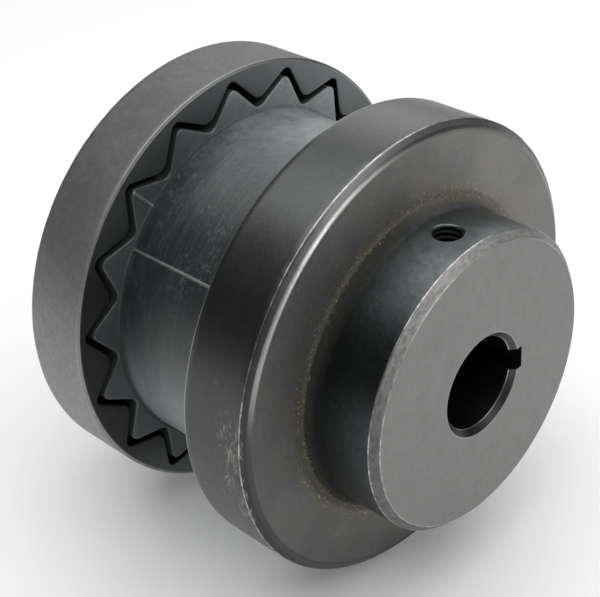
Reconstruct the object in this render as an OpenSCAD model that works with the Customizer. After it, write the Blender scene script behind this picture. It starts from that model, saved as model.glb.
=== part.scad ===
// Elastomeric sleeve shaft coupling: two internally toothed flanges and the rubber sleeve between them.
// The shaft axis is X, Z is up, and the origin is the middle of the coupling. All sizes are in millimetres.
// The drive flange is on the +X side. The driven flange is its mirror image across the middle plane.

/* [Flanges] */
// Outside diameter of each flange rim
rim_d = 62.5; // [62:0.5:70]
// Width of the rim, from its tooth-side face to the start of its front chamfer
rim_w = 9.7; // [8.5:0.1:14]
// Radial width of the rim's front chamfer
rim_chamfer_w = 1.2; // [0.6:0.1:1.5]
// Axial height of the rim's front chamfer
rim_chamfer_h = 0.8; // [0.4:0.1:1]
// Bevel on the rim's tooth-side edge
rim_back_bevel = 0.4; // [0.2:0.1:0.6]
// Gap between the faces of the two rims
rim_gap = 20.2; // [18:0.1:24]
// Depth of the toothed pocket that holds the end of the sleeve
pocket_depth = 6.6; // [6:0.1:7.2]

/* [Hubs and bores] */
// Diameter of each hub
hub_d = 40.9; // [38:0.1:44]
// Length that each hub stands out from the front face of its flange
hub_len = 10.7; // [9:0.1:16]
// Bevel round the outer end of each hub
hub_bevel = 1; // [0.5:0.1:1.5]
// Fillet radius at the foot of each hub
hub_fillet = 1.6; // [1:0.1:2.5]
// Diameter of the shaft bore
bore_d = 12.71; // [9.54:0.01:16]
// Bevel at both ends of the shaft bore
bore_bevel = 0.8; // [0.3:0.1:1]
// Width of the keyway
key_w = 3.18; // [2.5:0.01:4]
// Distance from the shaft axis to the keyway floor
key_floor = 7.87; // [6.6:0.01:9.5]

/* [Set screws] */
// Diameter of the tapped hole for each set screw
screw_hole_d = 4.26; // [3.6:0.01:6]
// Diameter of each set screw
screw_d = 4.16; // [3.5:0.01:5.9]
// Length of each set screw
screw_len = 6.35; // [4:0.05:7]
// Distance that each screw's tip stands back from the shaft or key
screw_setback = 0.25; // [0.2:0.05:0.5]
// Size of the hexagon socket across its flats
socket_af = 1.98; // [1.6:0.01:2.4]
// Depth of the hexagon socket
socket_depth = 2.4; // [1.5:0.1:3]

/* [Teeth] */
// Number of teeth in each flange and on each end of the sleeve
tooth_count = 18; // [14:1:20]
// Radius at the tips of the sleeve's teeth, before they are rounded
tip_r = 29.2; // [28.8:0.1:29.3]
// Radius at the roots of the sleeve's teeth, before they are rounded
root_r = 24.6; // [24.5:0.1:25.2]
// Rounding radius at the tips of the sleeve's teeth
tooth_tip_round = 1; // [0.4:0.1:1.6]
// Rounding radius at the roots of the sleeve's teeth
tooth_root_round = 1.4; // [0.4:0.1:1.6]
// Radial play at the tips of the sleeve's teeth, before they are rounded
tip_play = 1.2; // [0.8:0.1:1.3]
// Radial play at the roots of the sleeve's teeth, before they are rounded
root_play = 1.3; // [0.7:0.1:1.5]
// Rounding radius at the crests of the flange's teeth
crest_round = 1.6; // [1:0.1:2.2]
// Rounding radius in the corners between the flange's teeth
corner_round = 1.1; // [0.8:0.1:1.5]

/* [Sleeve] */
// Length of the rubber sleeve
sleeve_len = 31.75; // [31:0.05:32]
// Length of the teeth on each end of the sleeve
tooth_len = 5.9; // [5.5:0.1:8]
// Outside radius of the sleeve between its two rows of teeth
body_r = 24.4; // [23:0.1:24.5]
// Radius of the hollow through the sleeve
hollow_r = 19; // [17:0.1:20]
// Bevel on the ends of the hollow
hollow_bevel = 0.8; // [0.4:0.1:1.2]

/* [Hidden] */
$fn = 96;
black_oxide = [0.20, 0.20, 0.21];
dark_rubber = [0.12, 0.16, 0.18];
screw_black = [0.10, 0.10, 0.11];
rim_r = rim_d / 2;
hub_r = hub_d / 2;
bore_r = bore_d / 2;
pitch_angle = 360 / tooth_count;
web_front = rim_w + rim_chamfer_h;
flange_len = web_front + hub_len;
screw_h = web_front + hub_len / 2;
arc_steps = 6;
past = 1;

function polar(r, a) = [r * cos(a), r * sin(a)];
function unit(v) = v / norm(v);
function arc(centre, r, from, to, steps) =
    [for (i = [0 : steps]) centre + polar(r, from + (to - from) * i / steps)];

// The corner at p, between its neighbours a and b, rounded to radius r
function rounded_corner(a, p, b, r) =
    let (
        to_a = unit(a - p), to_b = unit(b - p),
        half = acos(to_a * to_b) / 2,
        centre = p + unit(to_a + to_b) * r / sin(half),
        start = p + to_a * r / tan(half) - centre,
        end = p + to_b * r / tan(half) - centre,
        from = atan2(start[1], start[0]),
        turn = atan2(start[0] * end[1] - start[1] * end[0], start * end)
    )
    arc(centre, r, from, from + turn, 4);

// A ring of pointed teeth with rounded tips and roots, and one tip on the Y axis
module tooth_ring_outline(tip, root, tip_round, root_round) {
    corners = [for (i = [0 : 2 * tooth_count - 1])
        polar(i % 2 == 0 ? tip : root, 90 + i * pitch_angle / 2)];
    last = len(corners) - 1;
    polygon([for (i = [0 : last])
        each rounded_corner(
            corners[i == 0 ? last : i - 1], corners[i], corners[i == last ? 0 : i + 1],
            i % 2 == 0 ? tip_round : root_round)]);
}

// Turns a shape made along +Z so that it lies along +X, with its own +Y pointing up
module along_x() {
    rotate([90, 0, 90]) children();
}

// Places the drive half, whose flange starts at the rim's tooth-side face
module drive_side() {
    translate([rim_gap / 2, 0, 0]) along_x() children();
}

module driven_side() {
    mirror([1, 0, 0]) drive_side() children();
}

// The flange without its pocket and holes: rim, web, fillet and hub, turned about Z
module flange_blank() {
    rotate_extrude() polygon(concat(
        [[0, 0], [rim_r - rim_back_bevel, 0], [rim_r, rim_back_bevel], [rim_r, rim_w],
            [rim_r - rim_chamfer_w, web_front]],
        arc([hub_r + hub_fillet, web_front + hub_fillet], hub_fillet, 270, 180, arc_steps),
        [[hub_r, flange_len - hub_bevel], [hub_r - hub_bevel, flange_len], [0, flange_len]]));
}

// The shaft bore with a bevel at the pocket floor and at the hub's end
module bore_cut() {
    translate([0, 0, pocket_depth - past]) cylinder(r = bore_r, h = flange_len);
    translate([0, 0, flange_len - bore_bevel])
        cylinder(r1 = bore_r, r2 = bore_r + bore_bevel + past, h = bore_bevel + past);
    translate([0, 0, pocket_depth - past])
        cylinder(r1 = bore_r + bore_bevel + past, r2 = bore_r, h = bore_bevel + past);
}

module keyway_cut() {
    translate([0, -key_w / 2, pocket_depth - past]) cube([key_floor, key_w, flange_len]);
}

// The two tapped holes: one over the keyway, and one a quarter turn from it
module screw_hole_cuts() {
    translate([0, 0, screw_h]) {
        rotate([0, 90, 0]) cylinder(d = screw_hole_d, h = hub_r + past);
        rotate([-90, 0, 0]) cylinder(d = screw_hole_d, h = hub_r + past);
    }
}

module flange() {
    difference() {
        flange_blank();
        translate([0, 0, -past]) linear_extrude(pocket_depth + past)
            tooth_ring_outline(tip_r + tip_play, root_r + root_play, corner_round, crest_round);
        bore_cut();
        keyway_cut();
        screw_hole_cuts();
    }
}

// One set screw along +Z: cup point at the foot, bevelled top with a hexagon socket
module set_screw() {
    r = screw_d / 2;
    tip_bevel = 0.6;
    top_bevel = 0.4;
    cup_r = 0.95;
    cup_depth = 0.5;
    difference() {
        rotate_extrude() polygon([
            [0, cup_depth], [cup_r, 0], [r - tip_bevel, 0], [r, tip_bevel],
            [r, screw_len - top_bevel], [r - top_bevel, screw_len], [0, screw_len]]);
        translate([0, 0, screw_len - socket_depth])
            cylinder(d = socket_af / cos(30), h = socket_depth + past, $fn = 6);
    }
}

// The screw over the plain bore, pointing up
module bore_screw() {
    translate([0, 0, screw_h]) rotate([-90, 0, 0]) translate([0, 0, bore_r + screw_setback]) set_screw();
}

// The screw over the keyway, pointing sideways
module key_screw() {
    translate([0, 0, screw_h]) rotate([0, 90, 0]) translate([0, 0, key_floor + screw_setback]) set_screw();
}

// The teeth on the end of the sleeve that stands at Z = 0
module sleeve_teeth() {
    linear_extrude(tooth_len) tooth_ring_outline(tip_r, root_r, tooth_tip_round, tooth_root_round);
}

module drive_flange() {
    color(black_oxide) drive_side() flange();
}

module driven_flange() {
    color(black_oxide) driven_side() flange();
}

module rubber_sleeve() {
    half = sleeve_len / 2;
    color(dark_rubber) along_x() difference() {
        union() {
            translate([0, 0, -half]) cylinder(r = body_r, h = sleeve_len);
            translate([0, 0, -half]) sleeve_teeth();
            mirror([0, 0, 1]) translate([0, 0, -half]) sleeve_teeth();
        }
        translate([0, 0, -half - past]) cylinder(r = hollow_r, h = sleeve_len + 2 * past);
        for (side = [0, 1]) mirror([0, 0, side]) translate([0, 0, half - hollow_bevel])
            cylinder(r1 = hollow_r, r2 = hollow_r + hollow_bevel + past, h = hollow_bevel + past);
    }
}

module drive_bore_screw() {
    color(screw_black) drive_side() bore_screw();
}

module drive_key_screw() {
    color(screw_black) drive_side() key_screw();
}

module driven_bore_screw() {
    color(screw_black) driven_side() bore_screw();
}

module driven_key_screw() {
    color(screw_black) driven_side() key_screw();
}

drive_flange();
driven_flange();
rubber_sleeve();
drive_bore_screw();
drive_key_screw();
driven_bore_screw();
driven_key_screw();
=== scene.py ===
"""Looks for the elastomeric sleeve coupling: two flanges, a toothed rubber sleeve and four set screws.

The shaft axis is X and Z is up. Sizes are in millimetres, as in the CAD, and the meshes are in metres.
Every piece is a grid of rings round its own axis. Keyways and tapped holes are cut from the flanges.
"""
import math
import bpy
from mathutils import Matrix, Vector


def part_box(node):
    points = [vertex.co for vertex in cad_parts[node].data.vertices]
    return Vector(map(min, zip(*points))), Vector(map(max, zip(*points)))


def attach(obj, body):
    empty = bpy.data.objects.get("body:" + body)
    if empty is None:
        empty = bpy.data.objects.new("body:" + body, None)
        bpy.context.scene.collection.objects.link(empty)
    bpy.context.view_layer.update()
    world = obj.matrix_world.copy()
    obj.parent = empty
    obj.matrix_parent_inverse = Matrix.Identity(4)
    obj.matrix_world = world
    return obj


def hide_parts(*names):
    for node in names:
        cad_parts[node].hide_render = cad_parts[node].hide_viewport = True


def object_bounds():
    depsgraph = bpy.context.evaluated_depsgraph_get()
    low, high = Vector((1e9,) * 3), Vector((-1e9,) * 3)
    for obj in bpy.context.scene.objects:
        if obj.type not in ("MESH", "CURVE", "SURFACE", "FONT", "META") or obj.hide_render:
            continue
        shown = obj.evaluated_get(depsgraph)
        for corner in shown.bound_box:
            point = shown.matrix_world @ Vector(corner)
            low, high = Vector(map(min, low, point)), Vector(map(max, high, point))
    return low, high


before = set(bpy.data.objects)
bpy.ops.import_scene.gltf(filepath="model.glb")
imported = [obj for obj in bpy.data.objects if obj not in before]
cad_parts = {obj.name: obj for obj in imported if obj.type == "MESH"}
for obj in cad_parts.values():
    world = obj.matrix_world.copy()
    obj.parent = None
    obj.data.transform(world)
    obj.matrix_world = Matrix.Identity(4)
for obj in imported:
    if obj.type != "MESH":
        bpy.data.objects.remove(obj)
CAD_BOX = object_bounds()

from types import SimpleNamespace

import bmesh
import bpy
import numpy as np
from mathutils import Matrix, Vector, noise

MM = 0.001

# ---------------------------------------------------------------- sizes, from the frame where it holds them
# On a flange, s is the distance from its tooth-side face and r the distance from the shaft axis.
flange_low, flange_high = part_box("drive_flange")
sleeve_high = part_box("rubber_sleeve")[1]
FACE_X = flange_low.x / MM
FLANGE_LEN = (flange_high.x - flange_low.x) / MM
RIM_R = flange_high.z / MM
SLEEVE_HALF = sleeve_high.x / MM
HUB_LEN = 10.7
WEB = FLANGE_LEN - HUB_LEN
RIM_CHAMFER_W = 1.2
RIM_CHAMFER_H = 0.8
RIM_W = WEB - RIM_CHAMFER_H
CHAMFER_R = RIM_R - RIM_CHAMFER_W
RIM_EDGE = 0.3
BEAD_R = 1.3
HUB_R = 20.45
HUB_BEVEL = 1.0
HUB_EDGE = FLANGE_LEN - HUB_BEVEL
HUB_FILLET = 1.6
BORE_R = 6.355
BORE_BEVEL = 0.8
KEY_W = 3.18
KEY_FLOOR = 7.87
POCKET_DEPTH = 6.6
TOOTH_COUNT = 18
TIP_R, ROOT_R, TIP_ROUND, ROOT_ROUND = 29.2, 24.6, 1.0, 1.4
TIP_PLAY, ROOT_PLAY, CORNER_ROUND, CREST_ROUND = 1.2, 1.3, 1.1, 1.6
TOOTH_LEN = 5.9
SHOULDER_X = SLEEVE_HALF - TOOTH_LEN
BODY_R = 24.4
HOLLOW_R = 19.0
HOLLOW_BEVEL = 0.8
SCREW_S = WEB + HUB_LEN / 2
SCREW_LEN = 6.35
SCREW_SETBACK = 0.25
THREAD_PITCH = 0.79375
HOLE_MAJOR_R, HOLE_MINOR_R = 2.13, 1.74
SCREW_MAJOR_R, SCREW_MINOR_R = 2.06, 1.66
SOCKET_AF, SOCKET_DEPTH = 1.98, 2.4


# ---------------------------------------------------------------- outlines
def line(a, b, steps):
    """Points from a to b, both ends included."""
    a, b = np.array(a, float), np.array(b, float)
    return [tuple(a + (b - a) * i / steps) for i in range(steps + 1)]


def arc(centre, radius, start, end, steps):
    """Points on a circle in the (s, r) plane, angles in degrees."""
    angles = [math.radians(start + (end - start) * i / steps) for i in range(steps + 1)]
    return [(centre[0] + radius * math.cos(t), centre[1] + radius * math.sin(t)) for t in angles]


# How far a rounded edge has turned in and out after 30, 60 and 90 degrees, for an edge of radius 1
QUARTER = [(1 - math.cos(math.radians(t)), 1 - math.sin(math.radians(t))) for t in (30, 60, 90)]


def tooth_angles(extra=()):
    """Angles round the shaft, closer together at the tips and roots of the teeth."""
    half = 180.0 / TOOTH_COUNT
    share = [0, .03, .06, .09, .12, .15, .18, .215, .25, .33]
    share += [.42, .52, .61, .68, .73, .775, .82, .865, .91, .955]
    steps = [half * f for f in share] + [half * (2 - f) for f in [1] + share[:0:-1]]
    angles = [90 + 2 * half * k + step for k in range(TOOTH_COUNT) for step in steps]
    angles = sorted({round(a % 360, 4) for a in angles} | {round(a % 360, 4) for a in extra})
    return np.radians(angles)


def tooth_radius(theta, tip, root, tip_round, root_round):
    """Radius of a ring of pointed, rounded teeth at each angle; one tip points up.

    Between two tips the outline is an arc at the tip, a straight flank and an arc at the root."""
    half = math.pi / TOOTH_COUNT
    from_tip = np.abs((theta - math.pi / 2 + half) % (2 * half) - half)
    from_root = half - from_tip
    tip_point = np.array([tip, 0.0])
    root_point = root * np.array([math.cos(half), math.sin(half)])
    edge = root_point - tip_point
    length = np.linalg.norm(edge)
    flat = tip_point[0] * edge[1] / (np.cos(from_tip) * edge[1] - np.sin(from_tip) * edge[0])
    half_tip = math.atan2(edge[1], -edge[0])
    half_root = half_tip + half
    tip_centre = tip - tip_round / math.sin(half_tip)
    root_centre = root + root_round / math.sin(half_root)
    tangent_tip = tip_point + edge / length * tip_round / math.tan(half_tip)
    tangent_root = root_point - edge / length * root_round / math.tan(half_root)
    tip_limit = math.atan2(tangent_tip[1], tangent_tip[0])
    root_limit = half - math.atan2(tangent_root[1], tangent_root[0])
    inside_tip = np.clip(tip_round**2 - (tip_centre * np.sin(from_tip))**2, 0, None)
    inside_root = np.clip(root_round**2 - (root_centre * np.sin(from_root))**2, 0, None)
    tip_arc = tip_centre * np.cos(from_tip) + np.sqrt(inside_tip)
    root_arc = root_centre * np.cos(from_root) - np.sqrt(inside_root)
    return np.where(from_tip < tip_limit, tip_arc, np.where(from_root < root_limit, root_arc, flat))


# ---------------------------------------------------------------- meshes
def rings_to_mesh(name, rings, closed):
    """A mesh from rings of points, each an (n, 3) array in millimetres.

    closed joins the last ring to the first; otherwise each end ring is drawn in to its centre."""
    count = len(rings[0])
    points = np.concatenate(rings)
    faces = []
    pairs = len(rings) if closed else len(rings) - 1
    for row in range(pairs):
        here, there = row * count, (row + 1) % len(rings) * count
        for i in range(count):
            j = (i + 1) % count
            faces.append((here + i, here + j, there + j, there + i))
    if not closed:
        poles = np.array([rings[0].mean(0), rings[-1].mean(0)])
        first, last = len(points), len(points) + 1
        points = np.concatenate([points, poles])
        end = (len(rings) - 1) * count
        for i in range(count):
            j = (i + 1) % count
            faces.append((first, j, i))
            faces.append((last, end + i, end + j))
    mesh = bpy.data.meshes.new(name)
    mesh.from_pydata((points * MM).tolist(), [], faces)
    tidy = bmesh.new()
    tidy.from_mesh(mesh)
    bmesh.ops.recalc_face_normals(tidy, faces=tidy.faces)
    tidy.to_mesh(mesh)
    tidy.free()
    piece = bpy.data.objects.new(name, mesh)
    bpy.context.scene.collection.objects.link(piece)
    return piece


def smooth_with_edges(piece, degrees=32):
    piece.data.shade_smooth()
    piece.data.set_sharp_from_angle(angle=math.radians(degrees))


def cut(piece, cutters):
    """Cuts each cutter from the piece, and removes the cutters."""
    for cutter in cutters:
        modifier = piece.modifiers.new("cut", "BOOLEAN")
        modifier.operation = "DIFFERENCE"
        modifier.solver = "EXACT"
        modifier.object = cutter
    bpy.context.view_layer.update()
    done = bpy.data.meshes.new_from_object(piece.evaluated_get(bpy.context.evaluated_depsgraph_get()))
    piece.modifiers.clear()
    old, piece.data = piece.data, done
    bpy.data.meshes.remove(old)
    for cutter in cutters:
        mesh = cutter.data
        bpy.data.objects.remove(cutter)
        bpy.data.meshes.remove(mesh)


def on_shaft(side, s, r, theta):
    """Points of a flange at s, r and each angle; side is 1 for the drive flange, -1 for the driven."""
    s, r = np.broadcast_to(s, theta.shape), np.broadcast_to(r, theta.shape)
    return np.stack([side * (FACE_X + s), r * np.cos(theta), r * np.sin(theta)], 1)


def screw_frame(side, over_key):
    """Origin on the shaft axis and right-handed axes whose third runs out along the screw."""
    out = Vector((0, 1, 0)) if over_key else Vector((0, 0, 1))
    across = Vector((1, 0, 0))
    origin = Vector((side * (FACE_X + SCREW_S), 0, 0))
    return origin, across, out.cross(across), out


def on_screw(place, height, radius, alpha):
    origin, across, over, out = (np.array(v) for v in place)
    height, radius = np.broadcast_to(height, alpha.shape), np.broadcast_to(radius, alpha.shape)
    return origin + np.outer(radius * np.cos(alpha), across) + np.outer(radius * np.sin(alpha), over) \
        + np.outer(height, out)


def thread(height, alpha, minor, major):
    """Radius of a right-hand thread with flat-topped ridges."""
    turn = (height / THREAD_PITCH - alpha / (2 * math.pi)) % 1.0
    ridge = np.clip(1.5 * (1 - 4 * np.abs(turn - 0.5)) / 2 + 0.5, 0, 1)
    return minor + (major - minor) * ridge


# ---------------------------------------------------------------- the flange
def cast_relief(x, y, z, seed):
    """Height of the as-cast skin in millimetres: grains, with a few deeper pits."""
    at = Vector((x, y, z + 40 * seed))
    grain = noise.noise(at * 1.9) * 0.5 + noise.noise(at * 4.3) * 0.35
    pit = max(0.0, noise.noise(at * 1.1) - 0.42)
    return 0.018 * grain - 0.10 * pit


def dents(theta, seed, count, depth):
    """Small dents round an edge: depth in millimetres at each angle."""
    random = np.random.default_rng(seed)
    total = np.zeros_like(theta)
    for _ in range(count):
        centre = random.uniform(0, 2 * math.pi)
        width = math.radians(random.uniform(0.4, 1.6))
        away = (theta - centre + math.pi) % (2 * math.pi) - math.pi
        total += depth * random.uniform(0.3, 1) * np.exp(-(away / width)**2)
    return total


def pocket_rows(theta):
    """(s, r) rows from the bore's inner bevel, over the pocket's floor and wall, to the face's edge."""
    pocket = tooth_radius(theta, TIP_R + TIP_PLAY, ROOT_R + ROOT_PLAY, CORNER_ROUND, CREST_ROUND)
    edge = 0.18
    floor_round = 0.4
    floor_inner = BORE_R + BORE_BEVEL
    rows = []
    for share in np.linspace(0, 1, 13):
        rows.append((POCKET_DEPTH, floor_inner + share * (pocket - floor_round - floor_inner)))
    for inward, outward in QUARTER:
        rows.append((POCKET_DEPTH - floor_round * inward, pocket - floor_round * outward))
    for s in np.linspace(POCKET_DEPTH - floor_round, edge, 7)[1:]:
        rows.append((s, pocket))
    for inward, outward in QUARTER:
        rows.append((edge * outward, pocket + edge * inward))
    face_outer = RIM_R - RIM_EDGE - 0.1
    for share in np.linspace(0, 1, 5)[1:]:
        rows.append((0.0, pocket + edge + share * (face_outer - pocket - edge)))
    return rows


def outside_rows():
    """(s, r) rows from the edge of the face, over the rim, web and hub, and back through the bore.

    Offsets of a few hundredths of a millimetre break each sharp edge."""
    rows = [(0.0, RIM_R - RIM_EDGE - 0.03), (0.04, RIM_R - RIM_EDGE + 0.02)]
    rows += [(RIM_EDGE - 0.05, RIM_R - 0.04), (RIM_EDGE + 0.04, RIM_R)]
    rows += line((RIM_EDGE + 0.04, RIM_R), (RIM_W - 0.12, RIM_R), 12)[1:]
    rows += [(RIM_W - 0.03, RIM_R - 0.01), (RIM_W + 0.04, RIM_R - 0.06)]
    slope = math.degrees(math.atan2(RIM_CHAMFER_H, RIM_CHAMFER_W))
    reach = BEAD_R * math.tan(math.radians(slope) / 2)
    bead = arc((WEB - BEAD_R, CHAMFER_R - reach), BEAD_R, slope, 0, 7)
    rows += line((RIM_W + 0.04, RIM_R - 0.06), bead[0], 3)[1:-1] + bead
    rows += line(bead[-1], (WEB, HUB_R + HUB_FILLET), 26)[1:]
    rows += arc((WEB + HUB_FILLET, HUB_R + HUB_FILLET), HUB_FILLET, 180, 270, 8)[1:]
    rows += line((WEB + HUB_FILLET, HUB_R), (HUB_EDGE - 0.12, HUB_R), 12)[1:]
    rows += [(HUB_EDGE - 0.03, HUB_R - 0.01), (HUB_EDGE + 0.06, HUB_R - 0.08)]
    rows += line((HUB_EDGE + 0.06, HUB_R - 0.08), (FLANGE_LEN - 0.08, HUB_R - HUB_BEVEL + 0.06), 4)[1:]
    rows += line((FLANGE_LEN, HUB_R - HUB_BEVEL - 0.06), (FLANGE_LEN, BORE_R + BORE_BEVEL), 12)
    rows += line((FLANGE_LEN, BORE_R + BORE_BEVEL), (FLANGE_LEN - BORE_BEVEL, BORE_R), 2)[1:]
    rows += line((FLANGE_LEN - BORE_BEVEL, BORE_R), (POCKET_DEPTH + BORE_BEVEL, BORE_R), 8)[1:]
    return rows


def flange_rings(side, theta, seed):
    """Rings of a flange, with dents round its front edges and cast relief on its web."""
    rings = []
    hub_dents = dents(theta, seed, 60, 0.03)
    rim_dents = dents(theta, seed + 1, 60, 0.04)
    cast_outer = CHAMFER_R - 0.4
    deepest_cast = 0.02
    for s, r in pocket_rows(theta) + outside_rows():
        s, r = np.broadcast_to(s, theta.shape).copy(), np.broadcast_to(r, theta.shape).copy()
        mean_s, mean_r = s.mean(), r.mean()
        if RIM_W - 0.05 < mean_s < WEB and mean_r > CHAMFER_R:
            r -= rim_dents
        if mean_s > HUB_EDGE - 0.1 and mean_r > HUB_R - HUB_BEVEL:
            r -= hub_dents * 0.8
            s -= hub_dents * 0.5
        if mean_s >= WEB - 0.01 and HUB_R + 0.15 < mean_r < cast_outer:
            points = on_shaft(side, s, r, theta)
            s -= deepest_cast - np.array([cast_relief(*p, seed) for p in points])
        rings.append(on_shaft(side, s, r, theta))
    return rings


def hole_cutter(side, over_key):
    """The tapped hole as a solid to cut away, with its thread."""
    alpha = np.linspace(0, 2 * math.pi, 48, endpoint=False)
    place = screw_frame(side, over_key)
    top = HUB_R + 1.2
    heights = np.arange(BORE_R * 0.6, top, THREAD_PITCH / 10)
    rings = []
    for h in heights:
        radius = thread(h, alpha, HOLE_MINOR_R, HOLE_MAJOR_R)
        mouth = HOLE_MAJOR_R + min(0.0, (h - HUB_R) * 1.6)
        rings.append(on_screw(place, h, np.maximum(radius, mouth), alpha))
    return rings_to_mesh("hole_cutter", rings, closed=False)


def keyway_cutter(side):
    """The keyway as a solid to cut away, running through the bore."""
    low = Vector((side * (FACE_X + POCKET_DEPTH - 1), 0, -KEY_W / 2))
    high = Vector((side * (FACE_X + FLANGE_LEN + 1), KEY_FLOOR, KEY_W / 2))
    bm = bmesh.new()
    bmesh.ops.create_cube(bm, size=1)
    centre = (low + high) / 2
    for v in bm.verts:
        v.co = Vector(centre[i] + v.co[i] * abs(high[i] - low[i]) for i in range(3)) * MM
    mesh = bpy.data.meshes.new("keyway_cutter")
    bm.to_mesh(mesh)
    bm.free()
    cutter = bpy.data.objects.new("keyway_cutter", mesh)
    bpy.context.scene.collection.objects.link(cutter)
    return cutter


def make_flange(name, side, seed):
    flange = rings_to_mesh(name, flange_rings(side, tooth_angles(), seed), closed=True)
    cut(flange, [keyway_cutter(side), hole_cutter(side, False), hole_cutter(side, True)])
    smooth_with_edges(flange)
    return flange


# ---------------------------------------------------------------- the sleeve
PARTING_ANGLES = (144.4, 324.4)
TOOTH_LINE_ANGLES = (130.0, 310.0)
PARTING_H = 0.16
TOOTH_LINE_H = 0.05
SKIN = 0.03
FOOT_ROUND = 0.25


def ridge(theta, angles, half_width):
    """A narrow rounded ridge, 0 to 1, along each of the angles."""
    total = np.zeros_like(theta)
    for angle in angles:
        away = np.abs((theta - math.radians(angle) + math.pi) % (2 * math.pi) - math.pi)
        total = np.maximum(total, np.clip(1 - away / math.radians(half_width), 0, 1))
    return np.sqrt(total)


def sleeve_rings(theta):
    teeth = tooth_radius(theta, TIP_R, ROOT_R, TIP_ROUND, ROOT_ROUND)
    parting = PARTING_H * ridge(theta, PARTING_ANGLES, 0.55)
    tooth_line = TOOTH_LINE_H * ridge(theta, TOOTH_LINE_ANGLES, 0.55)
    edge = 0.2
    foot = np.minimum(BODY_R - SKIN + FOOT_ROUND, teeth - edge - 0.01)
    end_inner = HOLLOW_R + HOLLOW_BEVEL
    foot_end = SHOULDER_X - FOOT_ROUND

    def half(side):
        """Rows from the middle of the hollow round one end to the middle of the outside."""
        made = [(d, HOLLOW_R) for d in np.linspace(0, SLEEVE_HALF - HOLLOW_BEVEL, 7)[1:]]
        made.append((SLEEVE_HALF, end_inner))
        for share in np.linspace(0, 1, 6)[1:]:
            made.append((SLEEVE_HALF, end_inner + share * (teeth - edge - end_inner)))
        for inward, outward in QUARTER:
            made.append((SLEEVE_HALF - edge * inward, teeth - edge * outward))
        for d in np.linspace(SLEEVE_HALF - edge, SHOULDER_X + edge, 7)[1:]:
            made.append((d, teeth))
        for inward, outward in QUARTER[:-1]:
            made.append((SHOULDER_X + edge * outward, teeth - edge * inward))
        for share in (0.0, 0.25, 0.5, 0.75):
            made.append((SHOULDER_X - tooth_line, teeth - edge + share * (foot - teeth + edge)))
        made.append((SHOULDER_X, foot))
        for t in (22, 45, 67):
            turn = math.radians(t)
            made.append((SHOULDER_X - FOOT_ROUND * (1 - math.cos(turn)),
                         foot + (BODY_R - SKIN - foot) * math.sin(turn)))
        made.append((foot_end, BODY_R - SKIN + parting))
        for d in np.linspace(foot_end, 0, 22)[1:]:
            ripple = 0.012 * math.sin(d * 9.1) * math.sin(d * 2.3 + 1)
            made.append((d, BODY_R - SKIN + ripple + parting))
        return [(side * d, r) for d, r in made]

    rows = half(-1) + half(1)[::-1][1:] + [(0.0, HOLLOW_R)]
    rings = []
    for x, r in rows:
        x, r = np.broadcast_to(x, theta.shape), np.broadcast_to(r, theta.shape)
        rings.append(np.stack([x, r * np.cos(theta), r * np.sin(theta)], 1))
    return rings


def make_sleeve(name):
    extra = []
    for angle in PARTING_ANGLES + TOOTH_LINE_ANGLES:
        extra += [angle + step for step in (-0.6, -0.5, -0.35, -0.15, 0, 0.15, 0.35, 0.5, 0.6)]
    sleeve = rings_to_mesh(name, sleeve_rings(tooth_angles(extra)), closed=True)
    smooth_with_edges(sleeve, 40)
    return sleeve


# ---------------------------------------------------------------- the set screws
def make_screw(name, side, over_key):
    """Threaded screw with a cup point, a bevelled top and a hexagon socket."""
    alpha = np.linspace(0, 2 * math.pi, 60, endpoint=False)
    place = screw_frame(side, over_key)
    foot = (KEY_FLOOR if over_key else BORE_R) + SCREW_SETBACK
    top = foot + SCREW_LEN
    sector = (alpha + math.pi / 6) % (math.pi / 3) - math.pi / 6
    hexagon = SOCKET_AF / 2 / np.cos(sector)
    cup_r, tip_bevel, top_bevel = 1.1, 0.7, 0.4
    rows = [(foot + 0.6, 0.05), (foot + 0.3, 0.55), (foot + 0.03, cup_r - 0.05), (foot, cup_r)]
    rows += [(foot, SCREW_MAJOR_R - tip_bevel), (foot + 0.04, SCREW_MAJOR_R - tip_bevel + 0.08)]
    for h in np.arange(foot + 0.08, top - 0.05, THREAD_PITCH / 12):
        limit = min(SCREW_MAJOR_R - tip_bevel + (h - foot), SCREW_MAJOR_R - top_bevel + (top - h))
        rows.append((h, np.minimum(thread(h, alpha, SCREW_MINOR_R, SCREW_MAJOR_R), limit)))
    rows += [(top - 0.03, SCREW_MINOR_R + 0.02), (top, SCREW_MINOR_R - 0.02)]
    rows += [(top, hexagon + 0.08), (top - 0.08, hexagon), (top - SOCKET_DEPTH * 0.5, hexagon)]
    rows += [(top - SOCKET_DEPTH, hexagon), (top - SOCKET_DEPTH - 0.3, hexagon * 0.5)]
    rows += [(top - SOCKET_DEPTH - 0.45, hexagon * 0.05)]
    screw = rings_to_mesh(name, [on_screw(place, h, r, alpha) for h, r in rows], closed=False)
    smooth_with_edges(screw, 30)
    return screw


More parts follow.
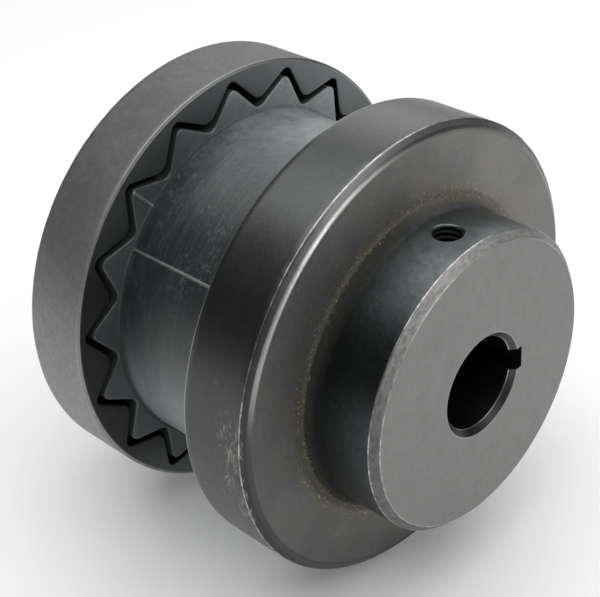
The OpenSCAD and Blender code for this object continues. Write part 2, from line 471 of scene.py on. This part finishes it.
# ---------------------------------------------------------------- materials
class Graph:
    """Short calls for building one material's nodes. Masks run from 0 to 1.

    x, y and z are the place in millimetres, r its distance from the shaft axis, and s that from the
    plane of the flange's tooth-side face."""

    def __init__(self, name):
        self.material = bpy.data.materials.new(name)
        self.material.use_nodes = True
        self.tree = self.material.node_tree
        self.tree.nodes.clear()
        self.shader = self.tree.nodes.new("ShaderNodeBsdfPrincipled")
        output = self.tree.nodes.new("ShaderNodeOutputMaterial")
        self.tree.links.new(self.shader.outputs[0], output.inputs[0])
        metres = self.tree.nodes.new("ShaderNodeTexCoord").outputs["Object"]
        self.place = self.make("ShaderNodeVectorMath", {0: metres, 3: 1 / MM}, operation="SCALE").outputs[0]
        split = self.make("ShaderNodeSeparateXYZ", {0: self.place})
        self.x, self.y, self.z = split.outputs[0], split.outputs[1], split.outputs[2]
        self.r = self.distance(self.y, self.z)
        self.s = self.math("SUBTRACT", self.math("ABSOLUTE", self.x), FACE_X)

    def make(self, kind, inputs, **settings):
        made = self.tree.nodes.new(kind)
        for key, value in settings.items():
            setattr(made, key, value)
        for key, value in inputs.items():
            if isinstance(value, bpy.types.NodeSocket):
                self.tree.links.new(value, made.inputs[key])
            else:
                made.inputs[key].default_value = value
        return made

    def math(self, operation, a, b=0.0):
        return self.make("ShaderNodeMath", {0: a, 1: b}, operation=operation).outputs[0]

    def both(self, *masks):
        """The product of the masks, which is 1 where all of them are."""
        total = masks[0]
        for mask in masks[1:]:
            total = self.math("MULTIPLY", total, mask)
        return total

    def larger(self, a, b):
        return self.math("MAXIMUM", a, b)

    def invert(self, mask):
        return self.math("SUBTRACT", 1.0, mask)

    def distance(self, a, b):
        """Distance from a point to an axis, from its two offsets."""
        squares = self.math("ADD", self.both(a, a), self.both(b, b))
        return self.math("SQRT", squares)

    def vary(self, value, noise, amount):
        """The value moved up and down by a noise that is about 0.5 on average."""
        return self.math("ADD", value, self.both(self.math("SUBTRACT", noise, 0.5), amount))

    def mix(self, factor, a, b):
        """A colour between a and b."""
        made = self.make("ShaderNodeMix", {0: factor}, data_type="RGBA")
        for socket, value in ((made.inputs[6], a), (made.inputs[7], b)):
            if isinstance(value, bpy.types.NodeSocket):
                self.tree.links.new(value, socket)
            else:
                socket.default_value = (*value, 1)
        return made.outputs[2]

    def tint(self, colour, mask, share, other):
        """The colour, with a share of the other colour where the mask is 1."""
        return self.mix(self.both(mask, share), colour, other)

    def blend(self, factor, a, b):
        """A number between a and b."""
        return self.make("ShaderNodeMix", {0: factor, 2: a, 3: b}, data_type="FLOAT").outputs[0]

    def step(self, value, low, high):
        """0 at low, 1 at high, smooth between; low may be the larger of the two."""
        inputs = {0: value, 1: low, 2: high}
        return self.make("ShaderNodeMapRange", inputs, interpolation_type="SMOOTHSTEP").outputs[0]

    def band(self, value, low, high, soft):
        """1 between low and high, falling to 0 over soft on each side."""
        return self.both(self.step(value, low - soft, low), self.step(value, high + soft, high))

    def near_edge(self, s, r, reach, soft):
        """1 within reach of the circle at s and r, falling to 0 over soft."""
        away = self.distance(self.math("SUBTRACT", self.s, s), self.math("SUBTRACT", self.r, r))
        return self.step(away, reach + soft, reach)

    def along(self, turn, angles, half_width):
        """1 where turn, an angle in radians, is near one of the angles in degrees."""
        total = 0.0
        for angle in angles:
            wrapped = math.radians((angle + 180) % 360 - 180)
            away = self.math("ABSOLUTE", self.math("SUBTRACT", turn, wrapped))
            total = self.larger(total, self.step(away, half_width * 1.6, half_width * 0.6))
        return total

    def noise(self, size, detail=3.0, rough=0.5, stretch=None, distortion=0.0):
        """Cloudy noise, about 0 to 1, with features size millimetres across; stretch scales x, y and z."""
        vector = self.place
        if stretch:
            inputs = {0: vector, 1: stretch}
            vector = self.make("ShaderNodeVectorMath", inputs, operation="MULTIPLY").outputs[0]
        inputs = {"Vector": vector, "Scale": 1 / size, "Detail": detail, "Roughness": rough}
        inputs["Distortion"] = distortion
        return self.make("ShaderNodeTexNoise", inputs).outputs[0]

    def bump(self, height, distance_mm, below=None):
        """A normal from the height, on top of the normal below if there is one."""
        inputs = {"Height": height, "Distance": distance_mm * MM, "Strength": 1.0}
        if below is not None:
            inputs["Normal"] = below
        return self.make("ShaderNodeBump", inputs).outputs[0]

    def set(self, **inputs):
        for key, value in inputs.items():
            name = key.replace("_", " ")
            if isinstance(value, bpy.types.NodeSocket):
                self.tree.links.new(value, self.shader.inputs[name])
            else:
                self.shader.inputs[name].default_value = value


def flange_areas(g):
    """Masks for the areas of a flange that differ in colour or finish."""
    area = SimpleNamespace()
    area.far = g.step(g.x, 0.0, -1.0)
    area.web = g.both(g.band(g.s, WEB - 0.3, WEB + 0.9, 0.3),
                      g.band(g.r, HUB_R + 0.5, CHAMFER_R - 0.3, 0.25))
    area.hub = g.both(g.band(g.r, HUB_R - 0.2, HUB_R + 0.9, 0.7), g.step(g.s, WEB + 0.4, WEB + 1.6))
    area.hub_bevel = g.both(g.step(g.s, HUB_EDGE - 0.02, HUB_EDGE + 0.12),
                            g.step(g.r, HUB_R - HUB_BEVEL - 0.1, HUB_R - HUB_BEVEL + 0.05))
    area.hub_face = g.both(g.step(g.s, FLANGE_LEN - 0.1, FLANGE_LEN - 0.02),
                           g.step(g.r, BORE_R + 0.75, BORE_R + 0.85))
    area.pocket = g.both(g.step(g.s, 0.10, 0.22), g.step(g.r, RIM_R - 0.7, RIM_R - 0.9),
                         g.step(g.s, POCKET_DEPTH + 0.3, POCKET_DEPTH + 0.1))

    at_foot = g.both(g.step(g.s, WEB + HUB_FILLET + 0.6, WEB + HUB_FILLET - 0.4),
                     g.step(g.s, WEB - 0.4, WEB - 0.1), g.step(g.r, HUB_R - 0.4, HUB_R - 0.1))
    area.fillet = g.both(at_foot, g.step(g.r, HUB_R + HUB_FILLET + 0.5, HUB_R + HUB_FILLET - 0.2))
    area.near_fillet = g.both(at_foot, g.step(g.r, HUB_R + 4.4, HUB_R + 1.4))
    area.hub_foot = g.both(g.step(g.s, WEB + 2.7, WEB + 0.9), g.step(g.s, WEB, WEB + 0.2),
                           g.step(g.r, HUB_R + 1.2, HUB_R + 0.7))

    in_bore = g.both(g.step(g.r, BORE_R + 0.75, BORE_R + 0.05),
                     g.step(g.s, POCKET_DEPTH, POCKET_DEPTH + 0.3),
                     g.step(g.s, FLANGE_LEN - 0.45, FLANGE_LEN - 0.8))
    in_key = g.both(g.band(g.z, -KEY_W / 2 - 0.05, KEY_W / 2 + 0.05, 0.05), g.step(g.y, 5.0, 5.2),
                    g.step(g.r, KEY_FLOOR + 0.5, KEY_FLOOR + 0.3),
                    g.step(g.s, FLANGE_LEN - 0.1, FLANGE_LEN - 0.3))
    from_screw_row = g.math("SUBTRACT", g.s, SCREW_S)
    outside, inside = HOLE_MAJOR_R + 0.12, HOLE_MAJOR_R + 0.06
    bore_hole = g.both(g.step(g.distance(from_screw_row, g.y), outside, inside), g.step(g.z, 0.0, 1.0))
    key_hole = g.both(g.step(g.distance(from_screw_row, g.z), outside, inside), g.step(g.y, 0.0, 1.0))
    area.holes = g.both(g.larger(bore_hole, key_hole), g.step(g.r, HUB_R - 0.06, HUB_R - 0.16))
    area.openings = g.larger(g.larger(in_bore, in_key), area.holes)
    return area


def rim_colour(g, far, clouds, mottle):
    """The rim, its chamfer and bead, and the tooth-side face.

    The rim is lighter on the far flange, a lit copy of the same iron as painted light, and darker lower
    down on the near one as painted shade."""
    near_iron = g.mix(clouds, (0.084, 0.089, 0.086), (0.130, 0.134, 0.130))
    # Painted light: the far rim is a lighter copy of the same iron, mixed with random tone and darker again
    # near its top.
    far_tone_and_painted_light = g.math("ADD", g.both(clouds, 0.5), g.both(g.step(g.z, 28.0, 19.0), 0.5))
    far_iron_lit_copy = g.mix(far_tone_and_painted_light, (0.105, 0.109, 0.107), (0.400, 0.402, 0.394))
    colour = g.mix(far, near_iron, far_iron_lit_copy)
    # Painted shade: the near rim is darkened lower down.
    near_painted_shade_low = g.both(g.step(g.z, 13.0, 2.0), g.invert(far))
    colour = g.tint(colour, near_painted_shade_low, 0.5, (0.038, 0.039, 0.037))
    colour = g.tint(colour, mottle, 0.30, (0.068, 0.070, 0.066))

    chamfer = g.both(g.step(g.s, RIM_W - 0.05, RIM_W + 0.05), g.step(g.r, CHAMFER_R + 0.3, RIM_R - 0.6))
    # Painted light and shade on the chamfer: dark low down, lighter towards the top.
    chamfer_painted_shading = g.mix(g.step(g.z, 15.0, 25.0), (0.045, 0.047, 0.046), (0.165, 0.170, 0.172))
    chamfer_painted_shading = g.mix(g.step(g.z, 25.0, 30.5), chamfer_painted_shading, (0.400, 0.408, 0.412))
    colour = g.tint(colour, chamfer, 0.75, chamfer_painted_shading)

    # Painted highlight on the bead, strongest high up towards -Y and none below 4 mm up.
    bead = g.both(g.step(g.s, RIM_W + 0.25, RIM_W + 0.45), g.band(g.r, RIM_R - 1.75, RIM_R - 0.85, 0.12))
    bead_painted_highlight = g.mix(g.step(g.y, 2.0, -8.0), (0.200, 0.197, 0.191), (0.360, 0.356, 0.346))
    colour = g.tint(colour, bead, g.blend(g.step(g.z, 4.0, 13.0), 0.0, 0.8), bead_painted_highlight)

    back = g.both(g.step(g.s, 0.25, 0.1), g.step(g.r, RIM_R - RIM_EDGE, RIM_R - 0.6))
    # Painted light and shade on the tooth-side face: lighter towards the top and bottom, darker at middle
    # height.
    middle = g.step(g.math("ABSOLUTE", g.math("ADD", g.z, 2.0)), 24.0, 12.0)
    back_painted_shading = g.mix(middle, (0.180, 0.192, 0.194), (0.074, 0.077, 0.072))
    return g.mix(back, colour, back_painted_shading)


def web_colour(g, grains):
    """The as-cast web: patchy, rusty towards the hub, with painted shade towards -Y and painted light
    towards +Y.
    """
    patches = g.step(g.noise(11.0, 4, 0.6), 0.40, 0.62)
    rust = g.both(g.step(g.noise(5.0, 6, 0.75), 0.46, 0.66), g.step(g.r, RIM_R - 1.0, HUB_R + 3.0))
    colour = g.mix(grains, (0.144, 0.145, 0.141), (0.226, 0.224, 0.215))
    colour = g.tint(colour, patches, 0.38, (0.092, 0.097, 0.101))
    colour = g.tint(colour, rust, 0.60, (0.200, 0.176, 0.134))
    # Painted shade towards -Y and painted light towards +Y.
    colour = g.tint(colour, g.step(g.y, 6.0, -24.0), 0.45, (0.070, 0.073, 0.072))
    return g.tint(colour, g.step(g.y, 0.0, 20.0), 0.35, (0.275, 0.272, 0.264))


def hub_colour(g, mottle):
    """The turned hub: painted shade lower down, and a pale patch of painted highlight on top, broken up by
    noise.
    """
    colour = g.mix(mottle, (0.062, 0.070, 0.071), (0.098, 0.108, 0.110))
    # Painted shade: the hub is darkened lower down.
    colour = g.tint(colour, g.step(g.z, 19.0, 13.0), 0.45, (0.020, 0.023, 0.024))
    # Painted highlight: a pale patch on top of the hub, broken up by noise.
    highlight_breakup = g.step(g.noise(2.2, 6, 0.75), 0.30, 0.56)
    painted_highlight_patch = g.both(g.step(g.y, -10.5, -4.0), g.step(g.z, 8.0, 14.0), highlight_breakup)
    return g.tint(colour, painted_highlight_patch, 0.35, (0.220, 0.236, 0.240))


def hub_face_colour(g, clouds):
    """The ground ring at the hub's end, with stains."""
    stains = g.step(g.noise(2.6, 7, 0.8), 0.40, 0.70)
    colour = g.mix(clouds, (0.190, 0.191, 0.189), (0.240, 0.238, 0.234))
    return g.tint(colour, stains, 0.35, (0.150, 0.150, 0.144))


def edge_wear_and_highlights(g, far):
    """Thin bright lines, partly wear and partly painted highlight: chipped along the front edges, and
    fainter on the far flange's back edge.
    """
    chips = g.step(g.noise(1.4, 5, 0.75), 0.40, 0.62)
    rim_front = g.near_edge(RIM_W, RIM_R, 0.05, 0.10)
    hub_outer = g.near_edge(HUB_EDGE, HUB_R, 0.05, 0.10)
    hub_inner = g.near_edge(FLANGE_LEN, HUB_R - HUB_BEVEL, 0.03, 0.12)
    edges = g.larger(rim_front, g.larger(hub_outer, hub_inner))
    edges = g.both(edges, g.blend(chips, 0.25, 1.0))
    bore_edge = g.near_edge(FLANGE_LEN - BORE_BEVEL, BORE_R, 0.04, 0.10)
    bore_lip = g.near_edge(FLANGE_LEN, BORE_R + BORE_BEVEL, 0.02, 0.08)
    edges = g.larger(edges, g.larger(bore_edge, g.both(bore_lip, 0.6)))
    back_outer = g.near_edge(RIM_EDGE, RIM_R, 0.04, 0.08)
    back_inner = g.near_edge(0.0, RIM_R - RIM_EDGE, 0.04, 0.08)
    rim_back = g.larger(back_outer, g.both(back_inner, 0.8))
    return g.larger(edges, g.both(rim_back, g.blend(far, 0.95, 0.30)))


def surface_marks(g, hub_face, clouds):
    """Fine scratches and specks all over, scuffs round the rim's middle height, and nicks in patches."""
    scratch_a = g.step(g.noise(0.7, 2, 0.5, stretch=(1, 1.6, 0.10), distortion=1.6), 0.66, 0.76)
    scratch_b = g.step(g.noise(0.9, 2, 0.5, stretch=(1, 0.12, 1.5), distortion=1.8), 0.68, 0.78)
    specks = g.step(g.noise(0.30, 2, 0.6), 0.70, 0.76)
    marks = g.both(g.larger(scratch_a, scratch_b), g.blend(hub_face, 0.08, 0.16))
    marks = g.larger(marks, g.both(specks, 0.25))
    scuffed = g.both(g.band(g.z, -6.0, 4.0, 5.0), g.step(g.s, 4.5, 8.5),
                     g.step(g.r, RIM_R - 0.5, RIM_R - 0.2))
    scuffs = g.step(g.noise(0.9, 5, 0.8, stretch=(1, 1, 0.35), distortion=1.2), 0.50, 0.66)
    marks = g.larger(marks, g.both(scuffed, scuffs, 0.55))
    nicks = g.step(g.noise(0.5, 3, 0.6, stretch=(1, 0.35, 0.35), distortion=0.8), 0.68, 0.74)
    return g.larger(marks, g.both(nicks, g.step(clouds, 0.50, 0.62), 0.30))


def iron_roughness(g, area, edges, clouds, fine):
    rough = g.blend(area.far, 0.37, 0.57)
    rough = g.blend(area.web, rough, 0.56)
    rough = g.blend(area.hub, rough, 0.40)
    rough = g.blend(area.hub_face, rough, 0.46)
    rough = g.blend(g.both(area.fillet, 0.9), rough, 0.80)
    rough = g.blend(area.hub_bevel, rough, 0.60)
    rough = g.blend(edges, rough, 0.34)
    rough = g.blend(area.holes, rough, 0.6)
    return g.vary(g.vary(rough, fine, 0.16), clouds, 0.14)


def flange_iron():
    """Black-oxide iron: turned rim and hub, as-cast web, ground hub face, thin bright edges of wear and
    painted highlight, and painted light and shade in places.
    """
    g = Graph("flange_iron")
    area = flange_areas(g)
    clouds = g.noise(9.0, 5, 0.6)
    fine = g.noise(0.35, 4, 0.6)
    grains = g.noise(0.8, 4, 0.65)
    mottle = g.step(g.noise(0.9, 6, 0.8, distortion=0.3), 0.30, 0.70)
    patchy = g.step(g.noise(1.1, 4, 0.75), 0.36, 0.62)
    sparkle = g.step(g.noise(0.30, 3, 0.7), 0.58, 0.66)
    turning = g.noise(0.5, 3, 0.6, stretch=(1, 0.03, 0.03))
    scraped = g.step(g.noise(0.45, 5, 0.7, stretch=(1.2, 0.4, 0.4)), 0.36, 0.62)
    olive, gold, hub_foot = (0.165, 0.155, 0.110), (0.55, 0.50, 0.32), (0.030, 0.031, 0.027)
    pocket, opening, hole = (0.012, 0.013, 0.014), (0.070, 0.075, 0.077), (0.024, 0.025, 0.026)
    edge, mark = (0.60, 0.59, 0.56), (0.50, 0.49, 0.47)

    colour = rim_colour(g, area.far, clouds, mottle)
    colour = g.mix(area.web, colour, web_colour(g, grains))
    colour = g.tint(colour, area.near_fillet, g.blend(patchy, 0.25, 0.75), olive)
    colour = g.mix(area.hub, colour, hub_colour(g, mottle))
    # Painted shade where the hub meets the web, much stronger towards -Y.
    colour = g.tint(colour, area.hub_foot, g.blend(g.step(g.y, -6.0, 5.0), 0.78, 0.15), hub_foot)
    gold_ring = g.band(g.r, HUB_R + 1.2, HUB_R + 2.6, 0.9)
    flecks = g.both(area.near_fillet, gold_ring, sparkle, g.blend(patchy, 0.35, 1.0))
    colour = g.mix(flecks, colour, gold)
    colour = g.mix(area.hub_face, colour, hub_face_colour(g, clouds))
    # Painted light: the hub's bevel is lighter towards the top, over its scraped wear.
    bevel = g.mix(g.step(g.z, 3.0, 14.0), (0.210, 0.210, 0.206), (0.420, 0.420, 0.410))
    colour = g.tint(colour, area.hub_bevel, g.blend(scraped, 0.45, 0.85), bevel)
    # Painted shade: the pocket, the bore and keyway, and the tapped holes are painted dark.
    colour = g.mix(area.pocket, colour, pocket)
    colour = g.mix(area.openings, colour, opening)
    colour = g.mix(area.holes, colour, hole)
    edges = edge_wear_and_highlights(g, area.far)
    # Thin bright edge lines: partly wear, partly painted highlight.
    colour = g.tint(colour, edges, 0.8, edge)
    colour = g.mix(surface_marks(g, area.hub_face, clouds), colour, mark)

    normal = g.bump(g.both(grains, area.web), 0.05)
    normal = g.bump(fine, 0.010, below=normal)
    normal = g.bump(g.both(turning, g.invert(area.web)), 0.008, below=normal)
    rough = iron_roughness(g, area, edges, clouds, fine)
    g.set(Base_Color=colour, Roughness=rough, Metallic=1.0, Normal=normal)
    return g.material


def sleeve_rubber():
    """Moulded blue-black rubber with round-the-body streaks, a patchy pale bloom laid on as painted
    highlight and painted reflection, and painted shade and highlights at the teeth.
    """
    g = Graph("sleeve_rubber")
    clouds = g.noise(6.0, 5, 0.6)
    streaks = g.noise(0.7, 5, 0.75, stretch=(1, 0.08, 0.08), distortion=0.3)
    cloudy = g.step(g.noise(3.4, 8, 0.85), 0.34, 0.64)
    dust_noise = g.noise(0.7, 4, 0.7)
    grain = g.noise(0.3, 3, 0.6)
    bloom_and_painted_light, dusty, shaded = (0.270, 0.302, 0.308), (0.24, 0.27, 0.27), (0.110, 0.126, 0.130)
    streak, flank, foot = (0.042, 0.052, 0.055), (0.006, 0.007, 0.007), (0.006, 0.008, 0.008)
    seam_highlight, tooth_line = (0.17, 0.18, 0.18), (0.34, 0.35, 0.35)

    across = g.math("ABSOLUTE", g.x)
    off_end = g.math("SUBTRACT", SHOULDER_X, across)
    on_body = g.step(across, SHOULDER_X, SHOULDER_X - 0.1)
    on_tooth_end = g.both(g.invert(on_body), g.step(off_end, -0.12, -0.04))
    on_flank = g.both(g.step(off_end, -0.15, -0.35), g.step(g.r, BODY_R + 0.2, BODY_R + 0.4))
    at_foot = g.step(g.distance(off_end, g.math("SUBTRACT", g.r, BODY_R)), 0.6, 0.2)

    # Pale bloom laid on as painted highlight on top and as painted reflection of the floor underneath,
    # broken up by cloudy noise.
    above = g.both(g.step(g.y, -14.0, 12.0), g.step(g.z, 11.0, 20.0), g.blend(cloudy, 0.45, 1.0))
    off_shoulder = g.step(across, SHOULDER_X - 0.1, SHOULDER_X - 1.6)
    below = g.both(g.step(g.z, 7.0, -9.0), g.blend(off_shoulder, 0.25, 1.0), g.blend(cloudy, 0.85, 1.15))
    dust = g.both(g.step(dust_noise, 0.50, 0.70), g.step(clouds, 0.40, 0.62))
    painted_light_tooth_ends = g.both(on_tooth_end, g.step(g.z, -4.0, 14.0), g.blend(cloudy, 0.35, 0.75))
    turn = g.math("ARCTAN2", g.z, g.y)
    on_seam = g.both(on_body, g.along(turn, PARTING_ANGLES, 0.007))
    on_tooth_line = g.both(on_tooth_end, g.along(turn, TOOTH_LINE_ANGLES, 0.0055))

    colour = g.mix(clouds, (0.006, 0.009, 0.010), (0.016, 0.022, 0.024))
    colour = g.tint(colour, g.step(streaks, 0.48, 0.66), 0.45, streak)
    colour = g.tint(colour, g.larger(above, below), 0.90, bloom_and_painted_light)
    colour = g.tint(colour, dust, g.blend(g.step(g.z, 6.0, 15.0), 0.10, 0.30), dusty)
    # Painted shade on the tooth flanks and in the corner at each tooth's foot.
    colour = g.tint(colour, on_flank, 0.8, flank)
    colour = g.tint(colour, at_foot, 0.5, foot)
    # Painted light on the tooth ends: lighter higher up and towards +Y, shaded towards -Y.
    colour = g.mix(painted_light_tooth_ends, colour, g.mix(g.step(g.y, -14.0, 2.0), shaded, bloom_and_painted_light))
    # Painted highlight along the raised parting line and tooth line.
    colour = g.tint(colour, on_seam, 0.6, seam_highlight)
    colour = g.tint(colour, on_tooth_line, 0.9, tooth_line)

    rough = g.vary(g.blend(clouds, 0.34, 0.50), streaks, 0.20)
    rough = g.blend(g.larger(at_foot, on_flank), rough, 0.95)
    normal = g.bump(grain, 0.02, below=g.bump(streaks, 0.05))
    g.set(Base_Color=colour, Roughness=rough, Normal=normal)
    g.set(Specular_IOR_Level=0.9, Sheen_Weight=0.04, Sheen_Roughness=0.5)
    return g.material


def screw_steel():
    """Black oxide on hardened steel, a little cloudy."""
    g = Graph("screw_steel")
    clouds = g.noise(1.2, 4, 0.6)
    fine = g.noise(0.15, 3, 0.6)
    colour = g.mix(clouds, (0.055, 0.055, 0.058), (0.12, 0.12, 0.122))
    rough = g.blend(fine, 0.28, 0.46)
    g.set(Base_Color=colour, Roughness=rough, Metallic=0.85, Normal=g.bump(fine, 0.008))
    return g.material


def floor_paper():
    """Pale sheet that glows a little, more so near the coupling."""
    g = Graph("floor_paper")
    g.set(Base_Color=g.mix(g.noise(3.0, 3, 0.5), (0.79, 0.79, 0.79), (0.81, 0.81, 0.81)), Roughness=0.9)
    near = g.step(g.distance(g.x, g.y), 320.0, 90.0)
    g.set(Emission_Color=g.mix(near, (0.10, 0.10, 0.10), (1.0, 1.0, 1.0)), Emission_Strength=0.14)
    return g.material


# ---------------------------------------------------------------- the pieces
IRON, RUBBER, STEEL = flange_iron(), sleeve_rubber(), screw_steel()


def finish_piece(piece, material, node, body):
    piece.data.materials.clear()
    piece.data.materials.append(material)
    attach(piece, body)
    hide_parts(node)


drive_casting = make_flange("drive_flange_casting", side=1, seed=3)
finish_piece(drive_casting, IRON, "drive_flange", "drive_half")
driven_casting = make_flange("driven_flange_casting", side=-1, seed=8)
finish_piece(driven_casting, IRON, "driven_flange", "driven_half")
finish_piece(make_sleeve("toothed_rubber_sleeve"), RUBBER, "rubber_sleeve", "sleeve")
for side_name, side in (("drive", 1), ("driven", -1)):
    for place_name, over_key in (("bore", False), ("key", True)):
        node_name = f"{side_name}_{place_name}_screw"
        screw_piece = make_screw(f"{side_name}_{place_name}_set_screw", side, over_key)
        finish_piece(screw_piece, STEEL, node_name, node_name)


# ---------------------------------------------------------------- floor, light and camera
FLOOR_HALF = 3.0
WORLD_COLOUR, WORLD_STRENGTH = (0.95, 0.98, 1.0, 1), 0.05
CAMERA_AT_MM = (119.3, -123.2, 98.5)
CAMERA_AZIMUTH, CAMERA_ELEVATION, TURN_ABOUT_SHAFT = 44.24, 29.88, -6.0
SENSOR_WIDTH_MM, FOCAL_LENGTH_MM = 36.0, 85.872


def add_floor():
    half = FLOOR_HALF
    mesh = bpy.data.meshes.new("studio_floor")
    corners = [(-half, -half, 0), (half, -half, 0), (half, half, 0), (-half, half, 0)]
    mesh.from_pydata(corners, [], [(0, 1, 2, 3)])
    floor = bpy.data.objects.new("studio_floor", mesh)
    floor.location.z = CAD_BOX[0][2]
    mesh.materials.append(floor_paper())
    bpy.context.scene.collection.objects.link(floor)


def aim(thing, target):
    direction = Vector(target) - thing.location
    thing.rotation_euler = direction.to_track_quat("-Z", "Y").to_euler()


def add_softbox(name, location, size, watts):
    data = bpy.data.lights.new(name, "AREA")
    data.shape = "RECTANGLE"
    data.size, data.size_y = size
    data.energy = watts
    light = bpy.data.objects.new(name, data)
    light.location = location
    bpy.context.scene.collection.objects.link(light)
    aim(light, (0, 0, 0))


def add_light():
    """A large overhead softbox, one behind to the left, and an upright one on the drive side."""
    world = bpy.data.worlds.new("studio")
    world.use_nodes = True
    background = world.node_tree.nodes["Background"]
    background.inputs[0].default_value = WORLD_COLOUR
    background.inputs[1].default_value = WORLD_STRENGTH
    bpy.context.scene.world = world
    add_softbox("overhead_softbox", location=(0.06, 0.10, 1.10), size=(1.90, 1.90), watts=24.0)
    add_softbox("back_softbox", location=(-0.80, 0.95, 0.50), size=(0.80, 0.70), watts=3.0)
    add_softbox("side_softbox", location=(0.95, 0.22, 0.12), size=(0.22, 0.28), watts=2.2)


def add_camera():
    """The camera stands off the drive hub's front corner, turned a little about the shaft axis."""
    turn_about_shaft = Matrix.Rotation(math.radians(TURN_ABOUT_SHAFT), 4, "X")
    azimuth, elevation = math.radians(CAMERA_AZIMUTH), math.radians(CAMERA_ELEVATION)
    location = Vector(CAMERA_AT_MM) * MM
    level = Matrix.Rotation(azimuth, 4, "Z") @ Matrix.Rotation(math.pi / 2 - elevation, 4, "X")
    data = bpy.data.cameras.new("camera")
    data.sensor_width = SENSOR_WIDTH_MM
    data.lens = FOCAL_LENGTH_MM
    data.clip_start = 0.01
    camera = bpy.data.objects.new("camera", data)
    camera.matrix_world = turn_about_shaft @ Matrix.Translation(location) @ level
    bpy.context.scene.collection.objects.link(camera)
    bpy.context.scene.camera = camera


add_floor()
add_light()
add_camera()
bpy.context.scene.view_settings.view_transform = "Standard"
